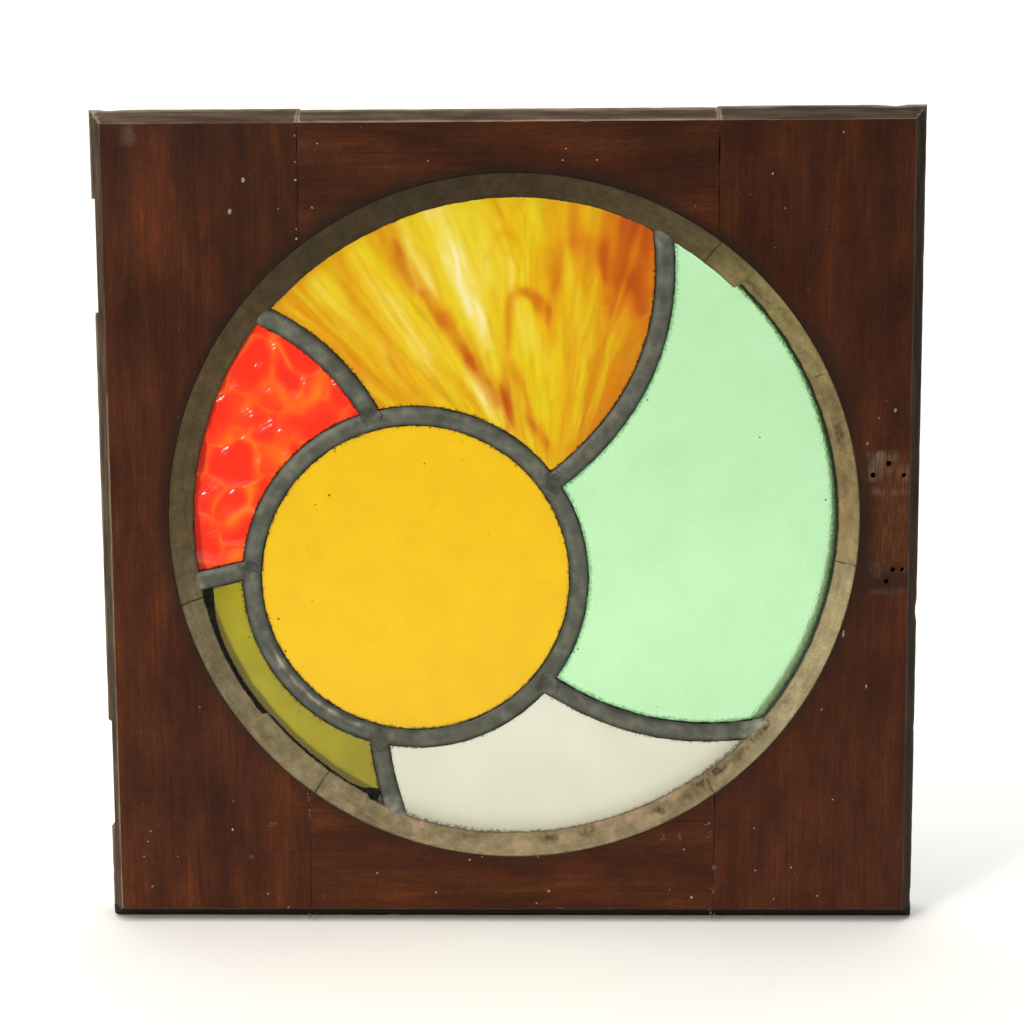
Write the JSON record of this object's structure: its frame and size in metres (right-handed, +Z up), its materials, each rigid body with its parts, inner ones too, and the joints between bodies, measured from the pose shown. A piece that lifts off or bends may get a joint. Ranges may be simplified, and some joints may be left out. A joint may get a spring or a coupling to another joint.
{
  "type": "stained glass window",
  "caption": "Square hardwood casement sash with a round leaded light: curved panes of coloured glass swirl round an off-centre yellow roundel, bedded in a ring of putty.",
  "frame": {"origin": "centre of the flat outer edge of the hinge stile, where the sash is hung", "axes": "+X from the hinge stile towards the catch stile, +Z up, -Y out through the puttied outer face"},
  "size_m": [0.52, 0.04, 0.52],
  "materials": {
    "mahogany": "dark reddish-brown hardwood, worn satin varnish",
    "putty": "old linseed oil putty, brushed, cracked and grimy",
    "lead": "dull weathered lead with pale oxide",
    "yellow_glass": "golden yellow, faintly mottled",
    "amber_glass": "streaky opalescent amber and cream",
    "red_glass": "hammered orange-red",
    "olive_glass": "smooth olive green",
    "white_glass": "white opal",
    "mint_glass": "mint green cathedral glass, finely granular"
  },
  "bodies": {
    "root": {"hinge_stile": "mahogany", "catch_stile": "mahogany", "top_rail": "mahogany", "bottom_rail": "mahogany", "putty_ring": "putty", "round_came": "lead", "amber_mint_came": "lead", "red_amber_came": "lead", "red_olive_came": "lead", "olive_white_came": "lead", "white_mint_came": "lead", "yellow_roundel": "yellow_glass", "amber_pane": "amber_glass", "red_pane": "red_glass", "olive_pane": "olive_glass", "white_pane": "white_glass", "mint_pane": "mint_glass"}
  },
  "joints": []
}
